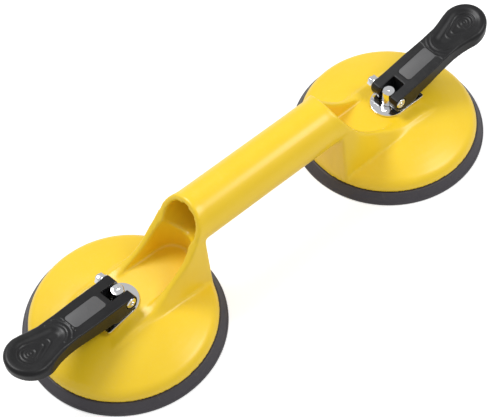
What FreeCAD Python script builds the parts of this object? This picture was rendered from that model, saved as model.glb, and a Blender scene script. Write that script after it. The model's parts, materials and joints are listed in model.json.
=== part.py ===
import FreeCAD, Part
import math
import os

"""Floor tile suction lifter: two rubber cups joined by one moulded housing with a tube handle.

Millimetres. The origin is on the floor midway between the cups, X runs along the handle, Z is up.
Each cup is described in its own frame, with its axis on Z and +x pointing away from the handle's middle,
and is then set out to the right (+X) and, mirrored, to the left (-X). The levers are shown locked.
"""

V = FreeCAD.Vector
UP = V(0, 0, 1)
ACROSS = V(0, 1, 0)
ALONG = V(1, 0, 0)

# ---- driving dimensions ----
cup_spacing = 210.0

# rubber pad
pad_radius = 60.0
pad_edge_height = 1.0
pad_lip = 4.6
pad_step = 0.8
pad_seat_z = 7.1
pad_bead_width = 2.6
pad_bead_height = 2.4
pad_web_thickness = 3.5
pad_flat_ring = 13.0
pad_hollow_slope = 19.0
pad_hub_wall = 2.5
pad_gutter_z = 5.2

# housing, dome
floor_z = 24.5
dome_apex_z = 24.2
dome_edge_z = 12.3
dome_draft = 3.0
skirt_straight = 0.3
dome_wall = 3.0
seat_radius = 12.4
boss_radius = 9.0
boss_height = 5.5
rib_count = 8
rib_thickness = 2.0
rib_bottom_z = 13.5

# housing, handle and scoops
tube_axis_z = 54.2
tube_radius = 15.5
tube_wall = 3.0
tube_web = 3.0
neck_draft = 0.5
collar_swell = 1.5
collar_length = 12.0
collar_inset = 9.5
collar_drop = 6.0
wall_foot_half = 22.5
wall_foot_widest_x = 6.0
wall_foot_narrowing = 0.002
wall_low_z = 9.5
wall_kink_depth = 2.0
ledge_end_x = 22.5
ledge_end_half = 20.8
ledge_mid_x = 8.0
ledge_mid_half = 20.1
ledge_mid_drop = 0.45
lip_start_x = 6.0
lip_start_half = 19.2
lip_start_drop = 0.15
lip_low_x = 18.7
lip_low_half = 17.8
lip_low_rise = 4.3
lip_mid_x = 34.0
lip_mid_half = 17.6
lip_mid_rise = 14.8
lip_high_x = 46.5
lip_high_half = 16.9
lip_high_rise = 30.2
lip_top_x = 54.0
neck_half = 15.2
pocket_end = 36.8
pocket_radius = 13.4
pocket_mouth_half = 14.0

# pull stud, its bush and its retainer
lift = 3.0
stud_radius = 3.9
stud_top_z = 36.8
stud_foot_radius = 7.0
stud_foot_height = 1.8
stud_centre_mark = 0.6
bush_wall = 1.9
bush_head_radius = 8.2
bush_head_height = 1.0
insert_radius = 32.0
insert_thickness = 2.0
retainer_radius = 10.2
retainer_thickness = 1.5

# return spring
spring_mean_radius = 11.8
spring_wire = 1.5
spring_turns = 4.5

# wear plate
wear_thickness = 1.5
wear_front_radius = 11.3
wear_back = 19.5
wear_corner = 1.5

# axle bolt with its washer and nut
axle_z = 33.6
bolt_radius = 2.0
bolt_head_radius = 3.4
bolt_head_height = 2.3
bolt_end = 1.4
washer_radius = 4.2
washer_thickness = 0.8
nut_across_flats = 7.0
nut_height = 3.2

# lever
lever_opening = 95.0
lever_width = 22.0
lever_slot = 9.0
lever_slot_end = 8.5
lever_reach = 63.2
lever_head_radius = 14.4
lever_waist_half = 10.4
lever_waist_at = 38.0
lever_slope = 11.4
lever_top_rise = 4.6
lever_ear_flat = 11.0
lever_arm_depth = 11.5
lever_tip_depth = 7.0
lever_wall = 2.2
lever_deck = 3.0
lever_rib_count = 4
head_pocket_depth = 2.0
recess_depth = 1.4
recess_half_width = 10.8
recess_start = 41.0
ring_count = 3
ring_width = 0.9
ring_height = 0.5
ring_gap = 2.6
ridge_count = 2
ridge_spacing = 3.4
label_length = 23.0
label_width = 10.0
label_start = 12.0
label_corner = 2.0
label_thickness = 0.4
left_lever_turn = 7.0

# ---- clearances ----
running_fit = 0.05
plate_gap = 0.3
cam_gap = 0.2
side_gap = 0.1
head_gap = 0.4
bead_gap = 0.7
foot_gap = 0.2
washer_slack = 0.15
label_gap = 0.05
spring_gap = 0.05
rib_gap = 2.7

# how far one solid is run into or past the next before they are joined or cut
bite = 4.0

# ---- sizes worked out from these ----
collar_radius = tube_radius + collar_swell
half_spacing = cup_spacing / 2
rim_radius = pad_radius - pad_lip
pad_seat_radius = rim_radius + pad_step
cap_drop = dome_apex_z - dome_edge_z
dome_cap_radius = (rim_radius ** 2 + cap_drop ** 2) / (2 * cap_drop)
shoulder_turn = math.pi / 2 - math.asin(rim_radius / dome_cap_radius) - math.radians(dome_draft)
dome_shoulder = (dome_edge_z - pad_seat_z - skirt_straight) / math.tan(shoulder_turn / 2)
seat_top = floor_z
insert_bottom = lift + pad_web_thickness
insert_top = insert_bottom + insert_thickness
stud_hole_radius = stud_radius + running_fit
wear_top = seat_top + wear_thickness
dome_ceiling = dome_apex_z - dome_wall
boss_bottom = dome_ceiling - boss_height
bush_radius = stud_hole_radius + bush_wall
skirt_inner = rim_radius - dome_wall
bead_outer = skirt_inner - bead_gap
cap_centre_z = dome_apex_z - dome_cap_radius
spring_outer = spring_mean_radius + spring_wire / 2
spring_top = cap_centre_z + math.sqrt((dome_cap_radius - dome_wall) ** 2 - spring_outer ** 2) - spring_gap
cam_rate = lift / math.radians(lever_opening)
cam_rest = axle_z - wear_top - cam_gap
lever_front = cam_rest - lift
head_seat_y = lever_width / 2 - head_pocket_depth
washer_start = lever_width / 2 + side_gap
nut_start = washer_start + washer_thickness
ball = 2 * (cup_spacing + pad_radius)


def face_of(points):
    """A flat face through the corner points given."""
    return Part.Face(Part.makePolygon(points + [points[0]]))


def turned(profile):
    """A solid of revolution about Z from (radius, z) corners."""
    face = face_of([V(r, 0, z) for r, z in profile])
    return face.revolve(V(0, 0, 0), UP, 360)


def rod(radius, start, axis, length):
    return Part.makeCylinder(radius, length, start, axis)


def arc(a, b, c):
    return Part.Arc(a, b, c).toShape()


def line(a, b):
    return Part.LineSegment(a, b).toShape()


def smooth(points):
    curve = Part.BSplineCurve()
    curve.interpolate(points)
    return curve.toShape()


# ---- rubber pad ----
def rubber_pad():
    """The suction cup, with its middle drawn up by the locked lever."""
    flat_inner = pad_radius - pad_flat_ring
    hub = insert_radius + pad_hub_wall
    bead_inner = bead_outer - pad_bead_width
    return turned([
        (0, lift),
        (flat_inner - pad_hollow_slope, lift),
        (flat_inner, 0),
        (pad_radius, 0),
        (pad_radius, pad_edge_height),
        (pad_seat_radius, pad_seat_z),
        (bead_outer, pad_seat_z),
        (bead_outer, pad_seat_z + pad_bead_height),
        (bead_inner, pad_seat_z + pad_bead_height),
        (bead_inner, pad_gutter_z),
        (hub, insert_top),
        (insert_radius, insert_top),
        (insert_radius, insert_bottom),
        (0, insert_bottom),
    ])


# ---- what pulls the pad up ----
def insert_plate():
    """Steel disc bonded into the pad, with the hole that the stud's foot turns in."""
    disc = rod(insert_radius, V(0, 0, insert_bottom), UP, insert_thickness)
    return disc.cut(rod(stud_foot_radius + foot_gap, V(0, 0, insert_bottom), UP, insert_thickness))


def stud_retainer():
    """Ring fixed on the insert plate over the stud's foot, so that the foot can turn but not lift out."""
    ring = rod(retainer_radius, V(0, 0, insert_top), UP, retainer_thickness)
    return ring.cut(rod(stud_hole_radius, V(0, 0, insert_top), UP, retainer_thickness))


def pull_stud():
    foot = rod(stud_foot_radius, V(0, 0, insert_bottom), UP, stud_foot_height)
    shank = rod(stud_radius, V(0, 0, insert_bottom), UP, stud_top_z - insert_bottom)
    stud = foot.fuse(shank).removeSplitter()
    cross_hole = rod(bolt_radius, V(0, -stud_radius * 2, axle_z), ACROSS, stud_radius * 4)
    mark = Part.makeCone(0, stud_centre_mark, stud_centre_mark, V(0, 0, stud_top_z - stud_centre_mark))
    top_edges = [e for e in stud.Edges if abs(e.CenterOfMass.z - stud_top_z) < 0.01]
    stud = stud.makeChamfer(0.4, top_edges)
    return stud.cut(cross_hole).cut(mark)


def guide_bush():
    """Flanged bush in the housing's boss, which the stud slides and turns in."""
    length = seat_top - boss_bottom
    body = rod(bush_radius, V(0, 0, boss_bottom), UP, length)
    head = rod(bush_head_radius, V(0, 0, boss_bottom - bush_head_height), UP, bush_head_height)
    bore = rod(stud_hole_radius, V(0, 0, boss_bottom - bush_head_height), UP, length + bush_head_height)
    return body.fuse(head).removeSplitter().cut(bore)


def return_spring():
    """Coil spring that pushes the pad's middle down again when the lever is opened."""
    wire_radius = spring_wire / 2
    low = insert_top + wire_radius
    pitch = (spring_top - insert_top - spring_wire) / spring_turns

    def on_helix(turns):
        a = 2 * math.pi * turns
        return V(spring_mean_radius * math.cos(a), spring_mean_radius * math.sin(a), low + pitch * turns)

    quarters = []
    for step in range(int(4 * spring_turns)):
        quarters.append(arc(on_helix(step / 4), on_helix((step + 0.5) / 4), on_helix((step + 1) / 4)))
    start = quarters[0].tangentAt(quarters[0].FirstParameter)
    ring = Part.Wire(Part.Circle(on_helix(0), start, wire_radius).toShape())
    return Part.Wire(quarters).makePipeShell([ring], True, True)


# ---- wear plate ----
def wear_plate():
    """Bright plate that the lever's cams slide on; it turns with the lever."""
    r = wear_front_radius
    back = wear_back
    c = wear_corner
    z = seat_top
    k = c * (1 - math.sqrt(0.5))
    outline = Part.Wire([
        arc(V(0, r, z), V(-r, 0, z), V(0, -r, z)),
        line(V(0, -r, z), V(back - c, -r, z)),
        arc(V(back - c, -r, z), V(back - k, -r + k, z), V(back, -r + c, z)),
        line(V(back, -r + c, z), V(back, r - c, z)),
        arc(V(back, r - c, z), V(back - k, r - k, z), V(back - c, r, z)),
        line(V(back - c, r, z), V(0, r, z)),
    ])
    plate = Part.Face(outline).extrude(UP * wear_thickness)
    return plate.cut(rod(stud_radius + plate_gap, V(0, 0, z), UP, wear_thickness))


# ---- axle bolt, washer and nut ----
def axle_bolt():
    length = nut_start + nut_height + bolt_end + head_seat_y
    shank = rod(bolt_radius, V(0, -head_seat_y, axle_z), ACROSS, length)
    head = rod(bolt_head_radius, V(0, -head_seat_y - bolt_head_height, axle_z), ACROSS, bolt_head_height)
    bolt = shank.fuse(head).removeSplitter()
    rim = [e for e in bolt.Edges if abs(e.CenterOfMass.y + head_seat_y + bolt_head_height) < 0.01]
    bolt = bolt.makeFillet(bolt_head_height * 0.4, rim)
    socket = hexagon(bolt_radius * 1.3, -head_seat_y - bolt_head_height, bolt_head_height * 0.5)
    return bolt.cut(socket)


def hexagon(across_flats, y, length):
    """A hexagonal bar about the axle, from y towards +y."""
    corner = across_flats / math.sqrt(3)
    ring = []
    for step in range(6):
        turn = math.radians(60 * step)
        ring.append(V(corner * math.cos(turn), y, axle_z + corner * math.sin(turn)))
    return face_of(ring).extrude(ACROSS * length)


def washer():
    ring = rod(washer_radius, V(0, washer_start, axle_z), ACROSS, washer_thickness)
    return ring.cut(rod(bolt_radius + washer_slack, V(0, washer_start, axle_z), ACROSS, washer_thickness))


def nut():
    bar = hexagon(nut_across_flats, nut_start, nut_height)
    return bar.cut(rod(bolt_radius, V(0, nut_start, axle_z), ACROSS, nut_height))


# ---- lever ----
def cam_point(turn):
    """The cam's point that meets the wear plate when the lever is opened by this many degrees."""
    a = math.radians(turn)
    reach = cam_rest - cam_rate * a
    x = -reach * math.sin(a) + cam_rate * math.cos(a)
    z = -reach * math.cos(a) - cam_rate * math.sin(a)
    return V(x, 0, axle_z + z)


def lever_top(x):
    return axle_z + lever_top_rise + x * math.tan(math.radians(lever_slope))


def lever_side():
    """The lever's side outline, as a solid wider than the lever."""
    tip = lever_reach + lever_head_radius
    front_top = lever_top(-lever_front)
    corners = [
        V(-lever_front, 0, axle_z + lever_top_rise * 0.2),
        V(-lever_front + 1.2, 0, front_top),
        V(tip, 0, lever_top(tip)),
        V(tip, 0, lever_top(tip) - lever_tip_depth),
        V(lever_ear_flat + 4, 0, lever_top(lever_ear_flat + 4) - lever_arm_depth),
        V(lever_ear_flat, 0, axle_z - cam_rest),
        cam_point(0),
        cam_point(lever_opening / 2),
        cam_point(lever_opening),
    ]
    side = face_of(corners)
    side.translate(V(0, -ball / 2, 0))
    return side.extrude(ACROSS * ball)


def lever_outline(inset):
    """The lever's plan outline, drawn in by inset all round."""
    half = lever_width / 2 - inset
    waist = lever_waist_half - inset
    head = lever_head_radius - inset
    start = -lever_front + inset
    tip = V(lever_reach + head, 0, 0)
    flank = 18.0
    shoulder_x = lever_reach - head * math.sin(math.radians(flank))
    shoulder_y = head * math.cos(math.radians(flank))
    top_side = smooth([
        V(lever_waist_at - 14, half, 0),
        V(lever_waist_at, waist + 0.2, 0),
        V((lever_waist_at + shoulder_x) / 2, (waist + shoulder_y) / 2 - 0.9, 0),
        V(shoulder_x, shoulder_y, 0),
    ])
    low_side = smooth([
        V(shoulder_x, -shoulder_y, 0),
        V((lever_waist_at + shoulder_x) / 2, -(waist + shoulder_y) / 2 + 0.9, 0),
        V(lever_waist_at, -waist - 0.2, 0),
        V(lever_waist_at - 14, -half, 0),
    ])
    return Part.Wire([
        line(V(start, -half, 0), V(start, half, 0)),
        line(V(start, half, 0), V(lever_waist_at - 14, half, 0)),
        top_side,
        arc(V(shoulder_x, shoulder_y, 0), tip, V(shoulder_x, -shoulder_y, 0)),
        low_side,
        line(V(lever_waist_at - 14, -half, 0), V(start, -half, 0)),
    ])


def lever_deck_cut(depth):
    """Everything more than depth below the lever's top face."""
    far = lever_reach + lever_head_radius + 5
    corners = [
        V(-20, 0, lever_top(-20) - depth),
        V(far, 0, lever_top(far) - depth),
        V(far, 0, 0),
        V(-20, 0, 0),
    ]
    block = face_of(corners)
    block.translate(V(0, -30, 0))
    return block.extrude(ACROSS * 60)


def drop_outline(scale, z):
    """A drop: a round end towards the tip, narrowing towards the waist."""
    r = recess_half_width * scale
    nose = lever_reach - (lever_reach - recess_start) * scale
    s = math.sqrt(0.5)
    return Part.Wire([
        arc(V(lever_reach, -r, z), V(lever_reach + r, 0, z), V(lever_reach, r, z)),
        smooth([V(lever_reach, r, z), V(lever_reach - r, r * 0.86, z), V(nose + r * 0.3, r * 0.36, z),
                V(nose, 0, z)]),
        smooth([V(nose, 0, z), V(nose + r * 0.3, -r * 0.36, z), V(lever_reach - r, -r * 0.86, z),
                V(lever_reach, -r, z)]),
    ])


def drop_column(scale):
    return Part.Face(drop_outline(scale, 0)).extrude(UP * ball)


def layer(low, high):
    """The slab between two depths below the lever's top face; a negative depth is above it."""
    return lever_deck_cut(low).cut(lever_deck_cut(high))


def lever():
    column = Part.Face(lever_outline(0)).extrude(UP * ball)
    body = lever_side().common(column)
    core = Part.Face(lever_outline(lever_wall)).extrude(UP * ball)
    inner_start = lever_slot_end + 5
    core = core.cut(Part.makeBox(inner_start + 40, 60, ball, V(-40, -30, 0)))
    hollow = core.common(lever_deck_cut(lever_deck))
    rib_pitch = (lever_reach + lever_head_radius - inner_start) / (lever_rib_count + 1)
    for step in range(lever_rib_count):
        x = inner_start + rib_pitch * (step + 1)
        hollow = hollow.cut(Part.makeBox(lever_wall * 0.8, 60, ball, V(x, -30, 0)))
    body = body.cut(hollow)
    slot = Part.makeBox(lever_slot_end + 20, lever_slot, ball, V(-20, -lever_slot / 2, 0))
    body = body.cut(slot)
    body = body.cut(rod(bolt_radius + running_fit, V(0, -lever_width, axle_z), ACROSS, 2 * lever_width))
    pocket_start = V(0, -head_seat_y - 10, axle_z)
    body = body.cut(rod(bolt_head_radius + head_gap, pocket_start, ACROSS, 10))
    recess = drop_column(1.0).common(layer(-5, recess_depth))
    body = body.cut(recess)
    for step in range(ring_count):
        outer = 1.0 - (step + 1) * ring_gap / recess_half_width
        inner = outer - ring_width / recess_half_width
        ring = drop_column(outer).cut(drop_column(inner))
        body = body.fuse(ring.common(layer(recess_depth - ring_height, recess_depth + 0.5)))
    for step in range(ridge_count):
        body = body.fuse(grip_ridge(step))
    return body.cut(label_block(0)).removeSplitter()


def grip_ridge(step):
    """A low curved ridge across the lever, just before the thumb recess."""
    reach = lever_reach - recess_start + 1.5 + ridge_spacing * step
    outer = rod(reach + ring_width, V(lever_reach, 0, 0), UP, ball)
    band = outer.cut(rod(reach, V(lever_reach, 0, 0), UP, ball))
    band = band.common(Part.makeBox(lever_reach, 2 * 6.5, ball, V(0, -6.5, 0)))
    return band.common(layer(-ring_height, 0.5))


def label_block(shrink):
    """The blank field on the lever's top, as a rounded slab."""
    x0 = label_start + shrink
    x1 = label_start + label_length - shrink
    h = label_width / 2 - shrink
    c = label_corner
    k = c * (1 - math.sqrt(0.5))
    outline = Part.Wire([
        line(V(x0 + c, -h, 0), V(x1 - c, -h, 0)),
        arc(V(x1 - c, -h, 0), V(x1 - k, -h + k, 0), V(x1, -h + c, 0)),
        line(V(x1, -h + c, 0), V(x1, h - c, 0)),
        arc(V(x1, h - c, 0), V(x1 - k, h - k, 0), V(x1 - c, h, 0)),
        line(V(x1 - c, h, 0), V(x0 + c, h, 0)),
        arc(V(x0 + c, h, 0), V(x0 + k, h - k, 0), V(x0, h - c, 0)),
        line(V(x0, h - c, 0), V(x0, -h + c, 0)),
        arc(V(x0, -h + c, 0), V(x0 + k, -h + k, 0), V(x0 + c, -h, 0)),
    ])
    column = Part.Face(outline).extrude(UP * ball)
    return column.common(layer(-1, label_thickness))


def label_plate():
    return label_block(label_gap).common(layer(0, label_thickness))


# ---- housing ----
def neck_end():
    """The skirt's round wall, carried up to the tube as the neck's end."""
    top = tube_axis_z + tube_radius
    drop = (top - pad_seat_z) * math.tan(math.radians(neck_draft))
    return Part.makeCone(rim_radius, rim_radius - drop, top - pad_seat_z, V(0, 0, pad_seat_z))


def on_circle(centre, radius, toward):
    """The point at radius from centre, in the direction of toward."""
    return centre + (toward - centre).normalize() * radius


def dome(inset, shoulder):
    """The dome's solid, drawn in by inset: drafted skirt, rounded shoulder and spherical cap."""
    draft = math.radians(dome_draft)
    cap_radius = dome_cap_radius - inset
    cap_centre = V(0, 0, cap_centre_z)
    foot = V(rim_radius - inset, 0, pad_seat_z)
    middle = V(0, 0, pad_seat_z)
    crown = V(0, 0, cap_centre_z + cap_radius)
    # the shoulder's centre is one shoulder radius inside both the skirt line and the cap
    slope = math.tan(draft)
    offset_r = foot.x + foot.z * slope - shoulder / math.cos(draft)
    a = 1 + slope * slope
    b = -2 * (offset_r * slope + cap_centre_z)
    c = offset_r ** 2 + cap_centre_z ** 2 - (cap_radius - shoulder) ** 2
    z = (-b + math.sqrt(b * b - 4 * a * c)) / (2 * a)
    centre = V(offset_r - z * slope, 0, z)
    on_skirt = centre + V(math.cos(draft), 0, math.sin(draft)) * shoulder
    on_cap = on_circle(cap_centre, cap_radius, centre)
    corner = on_circle(centre, shoulder, (on_skirt + on_cap) * 0.5)
    half_way = on_circle(cap_centre, cap_radius, (on_cap + crown) * 0.5)
    profile = Part.Wire([
        line(middle, foot),
        line(foot, on_skirt),
        arc(on_skirt, corner, on_cap),
        arc(on_cap, half_way, crown),
        line(crown, middle),
    ])
    return Part.Face(profile).revolve(V(0, 0, 0), UP, 360)


def foot_half(x):
    """How far out the scoop's side walls meet the dome."""
    return wall_foot_half - wall_foot_narrowing * (x + wall_foot_widest_x) ** 2


def cap_height(x, y):
    return cap_centre_z + math.sqrt(dome_cap_radius ** 2 - x * x - y * y)


def wall_section(x, lip_z, lip_half):
    """Section across both side walls, as if solid: from inside the dome up past the lip."""
    foot = foot_half(x)
    foot_z = cap_height(x, foot)
    lean = (foot - lip_half) / max(lip_z - foot_z, bite / 2)
    top_z = max(lip_z, foot_z) + bite / 2
    top_half = foot - lean * (top_z - foot_z)
    kink_half = foot + lean * wall_kink_depth
    kink_z = foot_z - wall_kink_depth
    right = [V(x, kink_half, wall_low_z), V(x, kink_half, kink_z), V(x, top_half, top_z)]
    left = [V(x, -point.y, point.z) for point in reversed(right)]
    return Part.makePolygon(right + left + [right[0]])


def riser():
    """The scoop's two side walls as one block, before its trough is cut."""
    sections = [
        wall_section(ledge_end_x + bite, cap_height(ledge_end_x + bite, ledge_end_half) - 1, ledge_end_half),
        wall_section(ledge_end_x, cap_height(ledge_end_x, ledge_end_half), ledge_end_half),
        wall_section(ledge_mid_x, floor_z - ledge_mid_drop, ledge_mid_half),
        wall_section(-lip_start_x, floor_z - lip_start_drop, lip_start_half),
        wall_section(-lip_low_x, floor_z + lip_low_rise, lip_low_half),
        wall_section(-lip_mid_x, floor_z + lip_mid_rise, lip_mid_half),
        wall_section(-lip_high_x, tube_axis_z, lip_high_half),
        wall_section(-rim_radius, tube_axis_z, neck_half),
        wall_section(-rim_radius - bite, tube_axis_z, neck_half),
    ]
    return Part.makeLoft(sections, True, False).common(neck_end())


def collar():
    """The tube's end, widened to meet the scoop's side walls."""
    start = -rim_radius + collar_inset
    narrow = V(start - collar_length, 0, tube_axis_z)
    flare = Part.makeCone(tube_radius, collar_radius, collar_length, narrow, ALONG)
    band = rod(collar_radius, V(start, 0, tube_axis_z), ALONG, 2 * bite - start - pocket_end)
    wide = 3 * collar_radius
    low = V(-rim_radius - wide, -wide / 2, tube_axis_z - collar_drop)
    return flare.fuse(band).common(Part.makeBox(rim_radius + wide, wide, wide, low))


def above_lip():
    """All that lies above and outward of the scoop's lip, which rises from the dome to the tube's top."""
    low = V(ledge_end_x + bite, 0, cap_height(ledge_end_x + bite, ledge_end_half) - 1)
    top = V(-lip_top_x, 0, tube_axis_z + tube_radius)
    high = tube_axis_z + 2 * tube_radius
    far = pad_radius
    wire = Part.Wire([
        smooth([
            low,
            V(ledge_end_x, 0, cap_height(ledge_end_x, ledge_end_half)),
            V(ledge_mid_x, 0, floor_z - ledge_mid_drop),
            V(-lip_start_x, 0, floor_z - lip_start_drop),
            V(-lip_low_x, 0, floor_z + lip_low_rise),
            V(-lip_mid_x, 0, floor_z + lip_mid_rise),
            V(-lip_high_x, 0, floor_z + lip_high_rise),
            top,
        ]),
        line(top, V(top.x, 0, high)),
        line(V(top.x, 0, high), V(far, 0, high)),
        line(V(far, 0, high), V(far, 0, low.z)),
        line(V(far, 0, low.z), low),
    ])
    face = Part.Face(wire)
    face.translate(V(0, -pad_radius, 0))
    return face.extrude(ACROSS * 2 * pad_radius)


def scoop_pocket():
    """The open trough in the scoop, round at its inner end."""
    z = floor_z
    end = -pocket_end
    r = pocket_radius
    mouth = pocket_mouth_half
    far = ledge_end_x + bite
    outline = Part.Wire([
        arc(V(end, r, z), V(end - r, 0, z), V(end, -r, z)),
        line(V(end, -r, z), V(0, -mouth, z)),
        line(V(0, -mouth, z), V(far, -mouth, z)),
        line(V(far, -mouth, z), V(far, mouth, z)),
        line(V(far, mouth, z), V(0, mouth, z)),
        line(V(0, mouth, z), V(end, r, z)),
    ])
    return Part.Face(outline).extrude(UP * tube_axis_z)


def cup_shell():
    """One cup of the housing with half of the handle."""
    outer = dome(0, dome_shoulder)
    outer = outer.fuse(rod(seat_radius, V(0, 0, dome_ceiling), UP, seat_top - dome_ceiling))
    handle_start = pocket_end + bite
    handle = rod(tube_radius, V(-handle_start, 0, tube_axis_z), -ALONG, half_spacing - handle_start)
    upper = riser().fuse(handle).fuse(collar())
    upper = upper.cut(above_lip()).cut(scoop_pocket())
    solid = outer.fuse(upper).removeSplitter()
    bore_length = half_spacing - tube_web / 2
    bore = rod(tube_radius - tube_wall, V(0, 0, tube_axis_z), -ALONG, bore_length)
    solid = solid.cut(bore)
    solid = solid.cut(dome(dome_wall, dome_shoulder - dome_wall))
    boss = rod(boss_radius, V(0, 0, boss_bottom), UP, dome_ceiling - boss_bottom + dome_wall / 2)
    stiffeners = [rib(step) for step in range(rib_count)]
    solid = solid.fuse(stiffeners + [boss]).removeSplitter()
    return solid.cut(rod(bush_radius, V(0, 0, boss_bottom), UP, seat_top - boss_bottom + bite))


def rib(step):
    """A stiffening rib under the dome, from outside the spring to the skirt."""
    start = spring_outer + rib_gap
    length = skirt_inner - start + dome_wall / 2
    box = Part.makeBox(length, rib_thickness, dome_apex_z, V(start, -rib_thickness / 2, rib_bottom_z))
    box = box.common(dome(dome_wall / 2, dome_shoulder - dome_wall / 2))
    box.rotate(V(0, 0, 0), UP, 360 / rib_count * (step + 0.5))
    return box


def set_right(shape):
    shape.translate(V(half_spacing, 0, 0))
    return shape


def set_left(shape):
    flipped = shape.mirror(V(0, 0, 0), ALONG)
    flipped.translate(V(-half_spacing, 0, 0))
    return flipped


def housing():
    return set_right(cup_shell()).fuse(set_left(cup_shell())).removeSplitter()


# ---- the assembly ----
def save(name, shape):
    if shape.ShapeType == "Compound" and len(shape.Solids) == 1:
        shape = shape.Solids[0]
    shape.exportStep(os.path.join("parts", name + ".step"))
    print(name, "solids", len(shape.Solids), "valid", shape.isValid(), "volume", round(shape.Volume, 1))


FIXED_PARTS = {
    "rubber_pad": rubber_pad,
    "insert_plate": insert_plate,
    "stud_retainer": stud_retainer,
    "guide_bush": guide_bush,
    "return_spring": return_spring,
}
SWIVEL_PARTS = {
    "pull_stud": pull_stud,
    "wear_plate": wear_plate,
    "axle_bolt": axle_bolt,
    "washer": washer,
    "nut": nut,
    "lever": lever,
    "label_plate": label_plate,
}


def build():
    os.makedirs("parts", exist_ok=True)
    save("housing", housing())
    for name, make in {**FIXED_PARTS, **SWIVEL_PARTS}.items():
        save("right_" + name, set_right(make()))
        shape = make()
        if name in SWIVEL_PARTS:
            shape.rotate(V(0, 0, 0), UP, -left_lever_turn)
        save("left_" + name, set_left(shape))


build()
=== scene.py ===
import json
import math

import bmesh
import bpy
import numpy as np
from mathutils import Matrix, Vector


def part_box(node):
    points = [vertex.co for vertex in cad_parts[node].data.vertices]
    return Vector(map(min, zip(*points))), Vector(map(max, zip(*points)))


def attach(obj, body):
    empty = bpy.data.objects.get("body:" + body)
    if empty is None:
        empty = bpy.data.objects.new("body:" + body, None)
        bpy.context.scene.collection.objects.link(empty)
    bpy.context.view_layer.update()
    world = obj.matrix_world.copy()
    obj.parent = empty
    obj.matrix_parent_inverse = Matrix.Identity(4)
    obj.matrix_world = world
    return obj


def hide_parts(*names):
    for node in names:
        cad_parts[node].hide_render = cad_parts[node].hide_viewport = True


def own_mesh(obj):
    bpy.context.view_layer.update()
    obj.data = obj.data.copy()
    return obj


MM = 0.001
SIDES = ("left", "right")

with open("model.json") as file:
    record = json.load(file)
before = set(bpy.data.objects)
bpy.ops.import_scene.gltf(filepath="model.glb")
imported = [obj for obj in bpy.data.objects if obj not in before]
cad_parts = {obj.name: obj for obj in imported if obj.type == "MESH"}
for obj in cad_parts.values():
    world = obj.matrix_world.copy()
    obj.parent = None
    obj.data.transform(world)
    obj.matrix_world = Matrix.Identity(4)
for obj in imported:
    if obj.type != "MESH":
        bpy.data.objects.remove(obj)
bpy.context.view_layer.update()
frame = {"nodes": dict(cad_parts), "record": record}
body_of = {}
for body_name, members in frame["record"]["behaviour"]["bodies"].items():
    for member in members:
        body_of[member] = body_name


# ---- shader node groups ----
def new_group(name, inputs, outputs):
    """An empty shader group with float inputs {name: default} and outputs {name: socket type}."""
    tree = bpy.data.node_groups.new(name, "ShaderNodeTree")
    for label, default in inputs.items():
        socket = tree.interface.new_socket(label, in_out="INPUT", socket_type="NodeSocketFloat")
        socket.default_value = default
    for label, kind in outputs.items():
        tree.interface.new_socket(label, in_out="OUTPUT", socket_type=kind)
    return tree, tree.nodes.new("NodeGroupInput"), tree.nodes.new("NodeGroupOutput")


def put(tree, kind, links=(), **settings):
    """Adds a node; settings name its properties, links are (input, source socket or value)."""
    node = tree.nodes.new(kind)
    for key, value in settings.items():
        setattr(node, key, value)
    for key, source in links:
        if isinstance(source, bpy.types.NodeSocket):
            tree.links.new(source, node.inputs[key])
        else:
            node.inputs[key].default_value = source
    return node


def grain_group():
    """Fine moulded texture: a height for bump and a slow mottling, both on Object coordinates."""
    tree, given, out = new_group(
        "moulded_grain",
        {"Fine Scale": 2200.0, "Broad Scale": 60.0, "Broad Share": 0.35},
        {"Height": "NodeSocketFloat", "Mottle": "NodeSocketFloat"})
    place = put(tree, "ShaderNodeTexCoord").outputs["Object"]
    fine = put(tree, "ShaderNodeTexNoise", [("Vector", place), ("Scale", given.outputs["Fine Scale"]),
                                            ("Detail", 3.0), ("Roughness", 0.6)])
    broad = put(tree, "ShaderNodeTexNoise", [("Vector", place), ("Scale", given.outputs["Broad Scale"]),
                                             ("Detail", 4.0), ("Roughness", 0.55)])
    height = put(tree, "ShaderNodeMix", [("Factor", given.outputs["Broad Share"]),
                                         ("A", fine.outputs["Fac"]), ("B", broad.outputs["Fac"])])
    tree.links.new(height.outputs["Result"], out.inputs["Height"])
    tree.links.new(broad.outputs["Fac"], out.inputs["Mottle"])
    return tree


def scuff_group():
    """Handling marks: thin scratches that lie in patches, as a mask."""
    tree, given, out = new_group(
        "handling_scuffs",
        {"Scale": 900.0, "Patch Scale": 45.0, "Amount": 0.5},
        {"Mask": "NodeSocketFloat"})
    place = put(tree, "ShaderNodeTexCoord").outputs["Object"]
    stretched = put(tree, "ShaderNodeMapping", [("Vector", place), ("Rotation", (0.4, 0.9, 0.6)),
                                                ("Scale", (1.0, 0.06, 0.3))])
    lines = put(tree, "ShaderNodeTexNoise", [("Vector", stretched.outputs["Vector"]),
                                             ("Scale", given.outputs["Scale"]), ("Detail", 2.0)])
    line_mask = put(tree, "ShaderNodeMapRange", [("Value", lines.outputs["Fac"]),
                                                 ("From Min", 0.62), ("From Max", 0.74)])
    patches = put(tree, "ShaderNodeTexNoise", [("Vector", place), ("Scale", given.outputs["Patch Scale"]),
                                               ("Detail", 3.0)])
    patch_mask = put(tree, "ShaderNodeMapRange", [("Value", patches.outputs["Fac"]),
                                                  ("From Min", 0.52), ("From Max", 0.72)])
    both = put(tree, "ShaderNodeMath", [(0, line_mask.outputs["Result"]), (1, patch_mask.outputs["Result"])],
               operation="MULTIPLY")
    scaled = put(tree, "ShaderNodeMath", [(0, both.outputs["Value"]), (1, given.outputs["Amount"])],
                 operation="MULTIPLY")
    tree.links.new(scaled.outputs["Value"], out.inputs["Mask"])
    return tree


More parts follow.
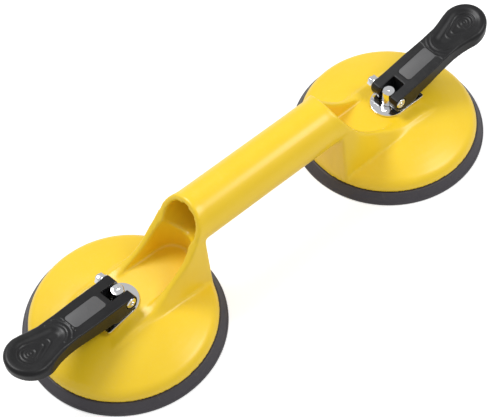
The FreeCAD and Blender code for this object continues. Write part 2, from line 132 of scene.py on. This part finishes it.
def dust_group():
    """Fine dust that settles on faces that look up, as a mask."""
    tree, given, out = new_group(
        "settled_dust",
        {"Scale": 350.0, "Amount": 0.2},
        {"Mask": "NodeSocketFloat"})
    place = put(tree, "ShaderNodeTexCoord").outputs["Object"]
    normal = put(tree, "ShaderNodeNewGeometry").outputs["Normal"]
    up = put(tree, "ShaderNodeSeparateXYZ", [("Vector", normal)]).outputs["Z"]
    upward = put(tree, "ShaderNodeMapRange", [("Value", up), ("From Min", 0.2), ("From Max", 1.0)])
    specks = put(tree, "ShaderNodeTexNoise", [("Vector", place), ("Scale", given.outputs["Scale"]),
                                              ("Detail", 5.0), ("Roughness", 0.7)])
    speck_mask = put(tree, "ShaderNodeMapRange", [("Value", specks.outputs["Fac"]),
                                                  ("From Min", 0.5), ("From Max", 0.8)])
    both = put(tree, "ShaderNodeMath", [(0, upward.outputs["Result"]), (1, speck_mask.outputs["Result"])],
               operation="MULTIPLY")
    scaled = put(tree, "ShaderNodeMath", [(0, both.outputs["Value"]), (1, given.outputs["Amount"])],
                 operation="MULTIPLY")
    tree.links.new(scaled.outputs["Value"], out.inputs["Mask"])
    return tree


GRAIN = grain_group()
SCUFFS = scuff_group()
DUST = dust_group()


def use(tree, group, **values):
    """Places a shader group with its own values; underscores in names stand for spaces."""
    node = tree.nodes.new("ShaderNodeGroup")
    node.node_tree = group
    for key, value in values.items():
        node.inputs[key.replace("_", " ")].default_value = value
    return node


MARK_ROUGHNESS = 0.35


def finish_material(name, colours, roughness, grain, scuffs, dust, bump, **shader):
    """A material: two colours mixed by mottling, then scuff and dust colours over them."""
    low, high, scuff_colour, dust_colour = [(*c, 1.0) for c in colours]
    material = bpy.data.materials.new(name)
    material.use_nodes = True
    material.diffuse_color = low
    tree = material.node_tree
    tree.nodes.clear()
    grain_node = use(tree, GRAIN, **grain)
    scuff_node = use(tree, SCUFFS, **scuffs)
    dust_node = use(tree, DUST, **dust)
    base = put(tree, "ShaderNodeMix", [(0, grain_node.outputs["Mottle"]), (6, low), (7, high)],
               data_type="RGBA")
    scuffed = put(tree, "ShaderNodeMix", [(0, scuff_node.outputs["Mask"]), (6, base.outputs[2]),
                                          (7, scuff_colour)], data_type="RGBA")
    dusted = put(tree, "ShaderNodeMix", [(0, dust_node.outputs["Mask"]), (6, scuffed.outputs[2]),
                                         (7, dust_colour)], data_type="RGBA")
    rough = put(tree, "ShaderNodeMapRange", [("Value", grain_node.outputs["Mottle"]),
                                             ("From Min", 0.3), ("From Max", 0.7),
                                             ("To Min", roughness[0]), ("To Max", roughness[1])])
    marks = put(tree, "ShaderNodeMath", [(0, scuff_node.outputs["Mask"]), (1, dust_node.outputs["Mask"])],
                operation="ADD")
    rougher = put(tree, "ShaderNodeMath", [(0, marks.outputs["Value"]), (1, MARK_ROUGHNESS),
                                           (2, rough.outputs["Result"])],
                  operation="MULTIPLY_ADD", use_clamp=True)
    relief = put(tree, "ShaderNodeBump", [("Strength", bump[0]), ("Distance", bump[1]),
                                          ("Height", grain_node.outputs["Height"])])
    principled = put(tree, "ShaderNodeBsdfPrincipled", [
        ("Base Color", dusted.outputs[2]),
        ("Roughness", rougher.outputs["Value"]),
        ("Normal", relief.outputs["Normal"])] + list(shader.items()))
    out = tree.nodes.new("ShaderNodeOutputMaterial")
    tree.links.new(principled.outputs["BSDF"], out.inputs["Surface"])
    return material


YELLOW = finish_material(
    "yellow_moulded_plastic",
    [(0.95, 0.62, 0.014), (0.98, 0.68, 0.022), (0.99, 0.78, 0.16), (0.9, 0.8, 0.55)],
    roughness=(0.30, 0.38),
    grain={"Fine_Scale": 1500.0, "Broad_Scale": 55.0, "Broad_Share": 0.3},
    scuffs={"Scale": 700.0, "Patch_Scale": 30.0, "Amount": 0.16},
    dust={"Scale": 500.0, "Amount": 0.05},
    bump=(0.18, 0.00008), **{"IOR": 1.5, "Coat Weight": 0.12, "Coat Roughness": 0.18})
RUBBER = finish_material(
    "dark_pad_rubber",
    [(0.040, 0.036, 0.044), (0.058, 0.052, 0.062), (0.16, 0.15, 0.16), (0.30, 0.29, 0.28)],
    roughness=(0.42, 0.56),
    grain={"Fine_Scale": 2600.0, "Broad_Scale": 120.0, "Broad_Share": 0.4},
    scuffs={"Scale": 800.0, "Patch_Scale": 50.0, "Amount": 0.3},
    dust={"Scale": 700.0, "Amount": 0.12},
    bump=(0.35, 0.0001), **{"IOR": 1.5, "Sheen Weight": 0.06, "Sheen Roughness": 0.4})
LEVER_BLACK = finish_material(
    "black_lever_plastic",
    [(0.005, 0.005, 0.006), (0.009, 0.009, 0.010), (0.05, 0.05, 0.05), (0.10, 0.10, 0.10)],
    roughness=(0.30, 0.42),
    grain={"Fine_Scale": 3200.0, "Broad_Scale": 140.0, "Broad_Share": 0.25},
    scuffs={"Scale": 1100.0, "Patch_Scale": 70.0, "Amount": 0.3},
    dust={"Scale": 900.0, "Amount": 0.05},
    bump=(0.3, 0.00008), **{"IOR": 1.5, "Specular IOR Level": 0.34})
LABEL_GREY = finish_material(
    "blank_grey_label",
    [(0.085, 0.085, 0.088), (0.11, 0.11, 0.113), (0.2, 0.2, 0.2), (0.3, 0.3, 0.3)],
    roughness=(0.45, 0.55),
    grain={"Fine_Scale": 4000.0, "Broad_Scale": 200.0, "Broad_Share": 0.2},
    scuffs={"Scale": 1300.0, "Patch_Scale": 90.0, "Amount": 0.35},
    dust={"Scale": 900.0, "Amount": 0.08},
    bump=(0.2, 0.00005), **{"IOR": 1.5})
CHROME = finish_material(
    "polished_chrome",
    [(0.78, 0.79, 0.81), (0.86, 0.87, 0.89), (0.55, 0.56, 0.58), (0.6, 0.6, 0.58)],
    roughness=(0.06, 0.13),
    grain={"Fine_Scale": 5000.0, "Broad_Scale": 260.0, "Broad_Share": 0.5},
    scuffs={"Scale": 2400.0, "Patch_Scale": 160.0, "Amount": 0.35},
    dust={"Scale": 1200.0, "Amount": 0.04},
    bump=(0.08, 0.00003), **{"Metallic": 1.0})
ZINC = finish_material(
    "zinc_plated_steel",
    [(0.50, 0.50, 0.51), (0.62, 0.62, 0.62), (0.36, 0.36, 0.37), (0.5, 0.48, 0.44)],
    roughness=(0.25, 0.42),
    grain={"Fine_Scale": 3800.0, "Broad_Scale": 240.0, "Broad_Share": 0.6},
    scuffs={"Scale": 2000.0, "Patch_Scale": 120.0, "Amount": 0.5},
    dust={"Scale": 900.0, "Amount": 0.15},
    bump=(0.25, 0.00005), **{"Metallic": 1.0})
BUSH = finish_material(
    "natural_bush_plastic",
    [(0.62, 0.60, 0.54), (0.70, 0.68, 0.62), (0.5, 0.48, 0.44), (0.5, 0.48, 0.42)],
    roughness=(0.35, 0.5),
    grain={"Fine_Scale": 3000.0, "Broad_Scale": 200.0, "Broad_Share": 0.4},
    scuffs={"Scale": 1500.0, "Patch_Scale": 120.0, "Amount": 0.4},
    dust={"Scale": 900.0, "Amount": 0.15},
    bump=(0.2, 0.00005), **{"IOR": 1.5})


# ---- mesh helpers ----
def add_object(name, mesh):
    piece = bpy.data.objects.new(name, mesh)
    bpy.context.scene.collection.objects.link(piece)
    return piece


def merged_copy(node, name):
    """A separate, joined-up copy of a CAD node's mesh."""
    mesh = frame["nodes"][node].data.copy()
    mesh.name = name
    shape = bmesh.new()
    shape.from_mesh(mesh)
    bmesh.ops.remove_doubles(shape, verts=shape.verts, dist=0.00001)
    shape.to_mesh(mesh)
    shape.free()
    return add_object(name, mesh)


def flatten_modifiers(piece):
    """Turns the evaluated piece into a plain mesh and removes its modifiers."""
    view = bpy.context.evaluated_depsgraph_get()
    mesh = bpy.data.meshes.new_from_object(piece.evaluated_get(view))
    piece.modifiers.clear()
    piece.data = mesh
    return piece


def voxel_skin(piece, voxel):
    change = piece.modifiers.new("skin", "REMESH")
    change.mode = "VOXEL"
    change.voxel_size = voxel
    change.use_smooth_shade = True
    return flatten_modifiers(piece)


def points_of(mesh):
    points = np.empty(len(mesh.vertices) * 3)
    mesh.vertices.foreach_get("co", points)
    return points.reshape(-1, 3)


def set_points(mesh, points):
    mesh.vertices.foreach_set("co", points.ravel())
    mesh.update()


def relax(piece, steps, share=0.5, weights=None):
    """Smooths a mesh by moving each point towards the mean of its neighbours."""
    mesh = piece.data
    edges = np.empty(len(mesh.edges) * 2, int)
    mesh.edges.foreach_get("vertices", edges)
    a, b = edges[0::2], edges[1::2]
    points = points_of(mesh)
    count = len(points)
    degree = np.bincount(a, minlength=count) + np.bincount(b, minlength=count)
    pull = share if weights is None else (share * weights)[:, None]
    for _ in range(steps):
        total = np.empty_like(points)
        for axis in range(3):
            total[:, axis] = np.bincount(a, points[b, axis], count)
            total[:, axis] += np.bincount(b, points[a, axis], count)
        points += pull * (total / degree[:, None] - points)
    set_points(mesh, points)
    return piece


def paint(piece, material):
    piece.data.materials.clear()
    piece.data.materials.append(material)
    return piece


def settle(piece, node, material):
    """Gives a finished piece its material and its body, and hides the CAD node that it stands for."""
    paint(piece, material)
    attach(piece, body_of[node])
    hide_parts(node)
    return piece


def eased(x, low, high):
    t = np.clip((x - low) / (high - low), 0.0, 1.0)
    return t * t * (3 - 2 * t)


# ---- housing ----
HOUSING_VOXEL = 0.95 * MM
SKIN_STEPS = 2
# the corner where the scoop's end wall meets the tube: place from the cup's centre and the tube's axis
NECK_X = 55.0 * MM
NECK_DROP = 13.0 * MM
NECK_REACH = 5.5 * MM
NECK_STEPS = 14

cup_x = {}
cup_radius = {}
for side in SIDES:
    low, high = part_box(side + "_rubber_pad")
    cup_x[side] = (low.x + high.x) / 2
    cup_radius[side] = (high.x - low.x) / 2


def tube_axis_z():
    for mount in frame["record"]["mounts"]:
        if mount["name"] == "handle_grip":
            return mount["pos_m"][2]
    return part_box("housing")[1].z - 16 * MM


def housing_skin():
    """The housing, with eased creases and a rounded corner under each end of the tube."""
    piece = voxel_skin(merged_copy("housing", "housing_shell"), HOUSING_VOXEL)
    relax(piece, SKIN_STEPS)
    points = points_of(piece.data)
    tube_z = tube_axis_z()
    weights = np.zeros(len(points))
    for side in SIDES:
        sign = 1 if cup_x[side] > 0 else -1
        corner_x = cup_x[side] - sign * NECK_X
        away = np.hypot(points[:, 0] - corner_x, points[:, 2] - (tube_z - NECK_DROP))
        behind = eased(sign * (cup_x[side] - points[:, 0]), NECK_X - 3 * MM, NECK_X - 1 * MM)
        weights = np.maximum(weights, behind * (1 - eased(away, 0.3 * NECK_REACH, NECK_REACH)))
    weights *= 1 - eased(points[:, 2], tube_z - 9 * MM, tube_z - 6 * MM)
    relax(piece, NECK_STEPS, weights=weights)
    return settle(piece, "housing", YELLOW)


housing_skin()


# ---- rubber pads, turned, and coil springs, from a node tree ----
def new_geometry_tree(name, inputs):
    tree = bpy.data.node_groups.new(name, "GeometryNodeTree")
    for label, (kind, default) in inputs.items():
        socket = tree.interface.new_socket(label, in_out="INPUT", socket_type=kind)
        if default is not None:
            socket.default_value = default
    tree.interface.new_socket("Geometry", in_out="OUTPUT", socket_type="NodeSocketGeometry")
    return tree, tree.nodes.new("NodeGroupInput"), tree.nodes.new("NodeGroupOutput")


def grown(name, tree, **values):
    """A plain mesh grown by a node tree with the named inputs."""
    piece = add_object(name, bpy.data.meshes.new(name))
    change = piece.modifiers.new("grow", "NODES")
    change.node_group = tree
    for item in tree.interface.items_tree:
        key = item.name.replace(" ", "_")
        if item.item_type == "SOCKET" and item.in_out == "INPUT" and key in values:
            change[item.identifier] = values[key]
    return flatten_modifiers(piece)


SPRING_TURNS = 4.5
SPRING_WIRE = 0.75 * MM


def spring_tree():
    """A coil spring: a round wire along a spiral."""
    distance = ("NodeSocketFloat", 0.0)
    tree, given, out = new_geometry_tree("coil_spring", {
        "Centre X": distance, "Foot Z": distance, "Coil Radius": distance, "Height": distance,
        "Wire Radius": distance, "Turns": ("NodeSocketFloat", SPRING_TURNS),
        "Material": ("NodeSocketMaterial", None)})
    path = put(tree, "GeometryNodeCurveSpiral", [
        ("Rotations", given.outputs["Turns"]), ("Start Radius", given.outputs["Coil Radius"]),
        ("End Radius", given.outputs["Coil Radius"]), ("Height", given.outputs["Height"])])
    path.inputs["Resolution"].default_value = 40
    wire = put(tree, "GeometryNodeCurvePrimitiveCircle", [("Radius", given.outputs["Wire Radius"])],
               mode="RADIUS")
    wire.inputs["Resolution"].default_value = 12
    swept = put(tree, "GeometryNodeCurveToMesh", [
        ("Curve", path.outputs["Curve"]), ("Profile Curve", wire.outputs["Curve"]), ("Fill Caps", True)])
    place = put(tree, "ShaderNodeCombineXYZ", [("X", given.outputs["Centre X"]),
                                               ("Z", given.outputs["Foot Z"])])
    placed = put(tree, "GeometryNodeTransform", [("Geometry", swept.outputs["Mesh"]),
                                                 ("Translation", place.outputs["Vector"])])
    whole = put(tree, "GeometryNodeRealizeInstances", [("Geometry", placed.outputs["Geometry"])])
    painted = put(tree, "GeometryNodeSetMaterial", [("Geometry", whole.outputs["Geometry"]),
                                                    ("Material", given.outputs["Material"])])
    tree.links.new(painted.outputs["Geometry"], out.inputs["Geometry"])
    return tree


def outward(piece):
    """Turns all faces outwards."""
    shape = bmesh.new()
    shape.from_mesh(piece.data)
    bmesh.ops.remove_doubles(shape, verts=shape.verts, dist=0.000001)
    bmesh.ops.recalc_face_normals(shape, faces=shape.faces)
    shape.to_mesh(piece.data)
    shape.free()
    return piece


def smooth_by_angle(piece, degrees):
    for face in piece.data.polygons:
        face.use_smooth = True
    shape = bmesh.new()
    shape.from_mesh(piece.data)
    limit = math.radians(degrees)
    for edge in shape.edges:
        edge.smooth = len(edge.link_faces) == 2 and edge.calc_face_angle(0.0) < limit
    shape.to_mesh(piece.data)
    shape.free()
    return piece


def lathe(name, profile, centre_x, steps=240):
    """A solid of revolution from (radius, z) points in millimetres, which form a loop or end on the axis."""
    shape = bmesh.new()
    rings = []
    for step in range(steps):
        turn = 2 * math.pi * step / steps
        ahead, aside = math.cos(turn), math.sin(turn)
        rings.append([shape.verts.new((centre_x + r * MM * ahead, r * MM * aside, z * MM))
                      for r, z in profile])
    count = len(profile)
    for step in range(steps):
        near, far = rings[step], rings[(step + 1) % steps]
        for i in range(count - 1):
            shape.faces.new((near[i], far[i], far[i + 1], near[i + 1]))
    mesh = bpy.data.meshes.new(name)
    shape.to_mesh(mesh)
    shape.free()
    return outward(add_object(name, mesh))


def rounded_profile(points, radius, arc_steps=4):
    """Rounds each inner corner of an open profile, in millimetres."""
    result = [points[0]]
    for before, here, after in zip(points, points[1:], points[2:]):
        p, q, r = Vector(before), Vector(here), Vector(after)
        cut = min(radius, 0.45 * (p - q).length, 0.45 * (r - q).length)
        start, end = q + (p - q).normalized() * cut, q + (r - q).normalized() * cut
        for step in range(arc_steps + 1):
            t = step / arc_steps
            point = start * (1 - t) ** 2 + q * 2 * t * (1 - t) + end * t * t
            result.append((point.x, point.y))
    result.append(points[-1])
    return result


SPRING = spring_tree()
PAD_SMOOTH_DEGREES = 60
# rubber pad, in millimetres; places across are measured inwards from the pad's edge
FLAT_RING = 13
RING_FOOT = 0.6
RING_CHAMFER = 0.8
GROOVE_NEAR = 4.8
GROOVE_MIDDLE = 5.4
GROOVE_FAR = 6.0
GROOVE_DEPTH = 0.5
EDGE_HEIGHT = 1.0
EDGE_STEP = 0.55
STEP_Z = 2.0
SLOPE_START = 0.75
SLOPE_START_Z = 1.9
SLOPE_END = 3.8
SEAT_GAP = 0.12
BEAD_OUTER = 8.4
BEAD_INNER = 10.9
GUTTER_Z = 5.2
WEB_EDGE_Z = 5.7
HOLLOW_Z = 3.0
HOLLOW_SLOPE = 19.0
HUB_OUTER = 34.5
HUB_INNER = 32.1
WEB_GAP = 0.05
RIM_ROUNDING = 0.5
WEB_ROUNDING = 0.6

for side in SIDES:
    pad = side + "_rubber_pad"
    low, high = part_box(pad)
    radius = cup_radius[side] / MM
    plate_low, plate_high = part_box(side + "_insert_plate")
    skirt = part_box("housing")[0].z / MM
    flat_inner = radius - FLAT_RING
    web_edge = flat_inner - WEB_GAP
    web_top = plate_low.z / MM
    plate_top = plate_high.z / MM
    seat = skirt - SEAT_GAP
    bead_top = high.z / MM
    rim_profile = rounded_profile([
        (flat_inner, RING_FOOT),
        (flat_inner + RING_CHAMFER, 0.0),
        (radius - GROOVE_FAR, 0.0),
        (radius - GROOVE_MIDDLE, GROOVE_DEPTH),
        (radius - GROOVE_NEAR, 0.0),
        (radius, 0.0),
        (radius, EDGE_HEIGHT),
        (radius - EDGE_STEP, STEP_Z),
        (radius - SLOPE_START, SLOPE_START_Z),
        (radius - SLOPE_END, seat),
        (radius - BEAD_OUTER, seat),
        (radius - BEAD_OUTER, bead_top),
        (radius - BEAD_INNER, bead_top),
        (radius - BEAD_INNER, GUTTER_Z),
        (flat_inner, WEB_EDGE_Z),
        (flat_inner, RING_FOOT),
    ], RIM_ROUNDING)
    rim = smooth_by_angle(lathe(side + "_pad_rim", rim_profile, cup_x[side]), PAD_SMOOTH_DEGREES)
    settle(rim, pad, RUBBER)
    web_profile = rounded_profile([
        (0.0, HOLLOW_Z),
        (flat_inner - HOLLOW_SLOPE, HOLLOW_Z),
        (web_edge, RING_FOOT),
        (web_edge, WEB_EDGE_Z),
        (HUB_OUTER, plate_top),
        (HUB_INNER, plate_top),
        (HUB_INNER, web_top - WEB_GAP),
        (0.0, web_top - WEB_GAP),
    ], WEB_ROUNDING)
    web = smooth_by_angle(lathe(side + "_pad_web", web_profile, cup_x[side]), PAD_SMOOTH_DEGREES)
    paint(web, RUBBER)
    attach(web, "housing_body")
    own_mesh(web)
    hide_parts(pad)
    coil_low, coil_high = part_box(side + "_return_spring")
    coil = outward(grown(
        side + "_coil_spring", SPRING, Centre_X=cup_x[side], Foot_Z=coil_low.z + SPRING_WIRE,
        Coil_Radius=(coil_high.x - coil_low.x) / 2 - SPRING_WIRE,
        Height=coil_high.z - coil_low.z - 2 * SPRING_WIRE,
        Wire_Radius=SPRING_WIRE, Turns=SPRING_TURNS, Material=ZINC))
    settle(smooth_by_angle(coil, PAD_SMOOTH_DEGREES), side + "_return_spring", ZINC)


# ---- levers ----
LEVER_VOXEL = 0.33 * MM
LEVER_TOP_Z = 38.2
LEVER_SLOPE = math.tan(math.radians(11.4))
TIP_U = 63.2
TIP_RADIUS = 14.4
DISH_DEPTH = 1.4
DISH_SLOPE = 5.0
DISH_TIP_RADIUS = 10.6
DISH_NECK_U = 46.5
DISH_NECK_RADIUS = 6.6
LINE_HEIGHT = 0.30
LINE_WIDTH = 0.45
# curved ridges beside the dish: radius and half their spread in degrees
RIDGES = ((7.9, 86.0), (10.3, 58.0))
RIDGE_HEIGHT = 0.32
RIDGE_WIDTH = 0.45
RIDGE_FADE = 6
# where the top face is reshaped, and how its outer edge is rounded
RESHAPE_FROM_U = 36.0
RESHAPE_DEPTH = 2.0
ROUND_FROM_U = 5.0
ROUND_ARM = 1.0
ROUND_TIP_MORE = 1.9
# the lever's half width at distances from the stud, in millimetres
WIDTH_AT = (24.0, 38.0, 48.4, 58.75, TIP_U)
HALF_WIDTH = (11.0, 10.6, 11.15, 13.7, TIP_RADIUS)
# drop-shaped lines in the dish: radius at the tip, centre and radius of the narrow end
DROPS = ((6.8, 52.5, 2.8), (4.7, 55.6, 1.6), (2.6, 62.0, 2.3), (1.0, TIP_U, 1.0))


def drop_distance(u, v, radius, far_u, far_radius):
    """Signed distance to a drop: the hull of a circle at the tip and a smaller one at far_u."""
    length = TIP_U - far_u
    along, across = TIP_U - u, np.abs(v)
    near = np.hypot(along, across) - radius
    if length < 0.01:
        return near
    lean = (radius - far_radius) / length
    straight = math.sqrt(1 - lean * lean)
    flank = across * straight + along * lean - radius
    far = np.hypot(along - length, across) - far_radius
    station = along * straight - across * lean
    return np.where(station < 0, near, np.where(station > length * straight, far, flank))


def lever_top(u, v):
    """Height of the lever's top face over its plane: dish, drop lines and two curved ridges."""
    dish = drop_distance(u, v, DISH_TIP_RADIUS, DISH_NECK_U, DISH_NECK_RADIUS)
    height = -DISH_DEPTH * eased(-dish, 0.0, DISH_SLOPE)
    for radius, far_u, far_radius in DROPS:
        line = drop_distance(u, v, radius, far_u, far_radius)
        height += LINE_HEIGHT * np.exp(-(line / LINE_WIDTH) ** 2)
    around = np.degrees(np.arctan2(np.abs(v), DISH_NECK_U - u))
    for ridge, spread in RIDGES:
        off = np.hypot(u - DISH_NECK_U, v) - ridge
        shown = 1 - eased(around, spread - RIDGE_FADE, spread)
        height += RIDGE_HEIGHT * np.exp(-(off / RIDGE_WIDTH) ** 2) * shown
    return height


def shape_lever(points, centre_x, along):
    """Moves the lever's top points to the dish and rounds its outer edge."""
    across = np.array((-along[1], along[0]))
    flat = points[:, :2] / MM - np.array((centre_x / MM, 0.0))
    u, v = flat @ along, flat @ across
    depth = LEVER_TOP_Z + u * LEVER_SLOPE - points[:, 2] / MM
    on_top = (u > RESHAPE_FROM_U) & (depth < RESHAPE_DEPTH)
    wide = np.interp(u, WIDTH_AT, HALF_WIDTH)
    inside = np.where(u > TIP_U, TIP_RADIUS - np.hypot(u - TIP_U, v), wide - np.abs(v))
    face = on_top & (inside > 0.6)
    depth[face] = -lever_top(u[face], v[face])
    round_off = ROUND_ARM + ROUND_TIP_MORE * eased(u, 38.0, 58.0)
    off_edge, off_top = round_off - inside, round_off - depth
    reach = np.hypot(off_edge, off_top)
    past = (u > ROUND_FROM_U) & (off_edge > 0) & (off_top > 0) & (reach > round_off)
    pull = np.where(past, round_off / np.maximum(reach, 0.01), 1.0)
    moved_in = off_edge * (1 - pull)
    depth = round_off - off_top * np.where(past, pull, 1.0)
    out_u = np.where(u > TIP_U, u - TIP_U, 0.0)
    size = np.maximum(np.hypot(out_u, v), 0.01)
    u, v = u - moved_in * out_u / size * past, v - moved_in * v / size * past
    place = np.outer(u, along) + np.outer(v, across)
    points[:, 0] = place[:, 0] * MM + centre_x
    points[:, 1] = place[:, 1] * MM
    points[:, 2] = (LEVER_TOP_Z + u * LEVER_SLOPE - depth) * MM
    return points


def lever_skin(side):
    node = side + "_lever"
    low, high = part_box(side + "_label_plate")
    along = np.array(((low.x + high.x) / 2 - cup_x[side], (low.y + high.y) / 2))
    along /= np.hypot(*along)
    piece = voxel_skin(merged_copy(node, side + "_lever_body"), LEVER_VOXEL)
    relax(piece, 1)
    set_points(piece.data, shape_lever(points_of(piece.data), cup_x[side], along))
    voxel_skin(piece, LEVER_VOXEL)
    relax(piece, 1)
    set_points(piece.data, shape_lever(points_of(piece.data), cup_x[side], along))
    return settle(piece, node, LEVER_BLACK)


for side in SIDES:
    lever_skin(side)


# ---- small parts with softened edges ----
FLAT_DEGREES = 0.6
EDGE_DEGREES = 40
SMOOTH_DEGREES = 35


def softened(node, name, width, material):
    """A copy of a CAD node with its flat faces made whole and its edges rounded."""
    piece = merged_copy(node, name)
    shape = bmesh.new()
    shape.from_mesh(piece.data)
    bmesh.ops.dissolve_limit(shape, angle_limit=math.radians(FLAT_DEGREES),
                             verts=shape.verts, edges=shape.edges)
    shape.to_mesh(piece.data)
    shape.free()
    change = piece.modifiers.new("edges", "BEVEL")
    change.width = width
    change.segments = 2
    change.limit_method = "ANGLE"
    change.angle_limit = math.radians(EDGE_DEGREES)
    change.use_clamp_overlap = True
    flatten_modifiers(piece)
    return settle(smooth_by_angle(piece, SMOOTH_DEGREES), node, material)


for side in SIDES:
    softened(side + "_pull_stud", side + "_stud", 0.12 * MM, CHROME)
    softened(side + "_wear_plate", side + "_slide_plate", 0.25 * MM, CHROME)
    softened(side + "_axle_bolt", side + "_bolt", 0.12 * MM, CHROME)
    softened(side + "_washer", side + "_flat_washer", 0.15 * MM, CHROME)
    softened(side + "_nut", side + "_hex_nut", 0.3 * MM, CHROME)
    softened(side + "_label_plate", side + "_label", 0.12 * MM, LABEL_GREY)

PLAIN_NODES = {"insert_plate": ZINC, "stud_retainer": ZINC, "guide_bush": BUSH}
for side in SIDES:
    for part, material in PLAIN_NODES.items():
        paint(frame["nodes"][side + "_" + part], material)


# ---- stage ----
FLOOR_HALF = 6.0
FLOOR_Z = -0.0002
FLOOR_GREY = 0.86
FLOOR_GLOW = 0.45
SKY_STRENGTH = 0.48
SKY_REFLECTED = 0.60
SKY_SEEN = 1.0


def floor_material():
    material = bpy.data.materials.new("pale_floor")
    material.use_nodes = True
    tree = material.node_tree
    tree.nodes.clear()
    matt = put(tree, "ShaderNodeBsdfDiffuse", [("Color", (FLOOR_GREY, FLOOR_GREY, FLOOR_GREY, 1.0))])
    glow = put(tree, "ShaderNodeEmission", [("Color", (1.0, 1.0, 1.0, 1.0)), ("Strength", FLOOR_GLOW)])
    path = put(tree, "ShaderNodeLightPath")
    lit = put(tree, "ShaderNodeAddShader", [(0, matt.outputs["BSDF"]), (1, glow.outputs["Emission"])])
    mix = put(tree, "ShaderNodeMixShader", [(0, path.outputs["Is Camera Ray"]), (1, matt.outputs["BSDF"]),
                                            (2, lit.outputs["Shader"])])
    out = tree.nodes.new("ShaderNodeOutputMaterial")
    tree.links.new(mix.outputs["Shader"], out.inputs["Surface"])
    return material


def stage_floor():
    mesh = bpy.data.meshes.new("studio_floor")
    half = FLOOR_HALF
    corners = [(-half, -half), (half, -half), (half, half), (-half, half)]
    mesh.from_pydata([(x, y, FLOOR_Z) for x, y in corners], [], [(0, 1, 2, 3)])
    floor = paint(add_object("studio_floor", mesh), floor_material())


def sky():
    world = bpy.data.worlds.new("studio")
    bpy.context.scene.world = world
    world.use_nodes = True
    tree = world.node_tree
    tree.nodes.clear()
    path = put(tree, "ShaderNodeLightPath")
    mirrored = put(tree, "ShaderNodeMix", [("Factor", path.outputs["Is Glossy Ray"]),
                                           ("A", SKY_STRENGTH), ("B", SKY_REFLECTED)])
    strength = put(tree, "ShaderNodeMix", [("Factor", path.outputs["Is Camera Ray"]),
                                           ("A", mirrored.outputs["Result"]), ("B", SKY_SEEN)])
    glow = put(tree, "ShaderNodeBackground", [("Color", (1.0, 1.0, 1.0, 1.0)),
                                              ("Strength", strength.outputs["Result"])])
    out = tree.nodes.new("ShaderNodeOutputWorld")
    tree.links.new(glow.outputs["Background"], out.inputs["Surface"])


def lamp(name, place, aim, size, power):
    light = bpy.data.lights.new(name, "AREA")
    light.shape = "DISK"
    light.size = size
    light.energy = power
    piece = bpy.data.objects.new(name, light)
    bpy.context.scene.collection.objects.link(piece)
    piece.location = place
    piece.rotation_euler = (Vector(aim) - Vector(place)).to_track_quat("-Z", "Y").to_euler()


def camera():
    azimuth, elevation, roll = (math.radians(a) for a in (-36.5746, 54.7877, -5.2213))
    target = Vector((0.914, 12.02, 0.0)) * MM
    back = Vector((math.sin(azimuth) * math.cos(elevation), -math.cos(azimuth) * math.cos(elevation),
                   math.sin(elevation)))
    level = Vector((0, 0, 1)).cross(back).normalized()
    rise = back.cross(level)
    right = level * math.cos(roll) + rise * math.sin(roll)
    up = rise * math.cos(roll) - level * math.sin(roll)
    place = Matrix((right, up, back)).transposed().to_4x4()
    place.translation = target + back * 0.8539
    data = bpy.data.cameras.new("camera")
    data.sensor_width = 36.0
    data.lens = 36.0 * 1401.82 / 500
    data.clip_start = 0.01
    data.clip_end = 50.0
    piece = bpy.data.objects.new("camera", data)
    bpy.context.scene.collection.objects.link(piece)
    piece.matrix_world = place
    bpy.context.scene.camera = piece


stage_floor()
sky()
lamp("key_softbox", (-0.15, 0.65, 1.0), (0.0, 0.0, 0.03), 0.5, 6.8)
lamp("fill_softbox", (0.55, -0.5, 0.95), (0.0, 0.0, 0.03), 0.5, 4.4)
camera()
bpy.context.scene.view_settings.view_transform = "Standard"
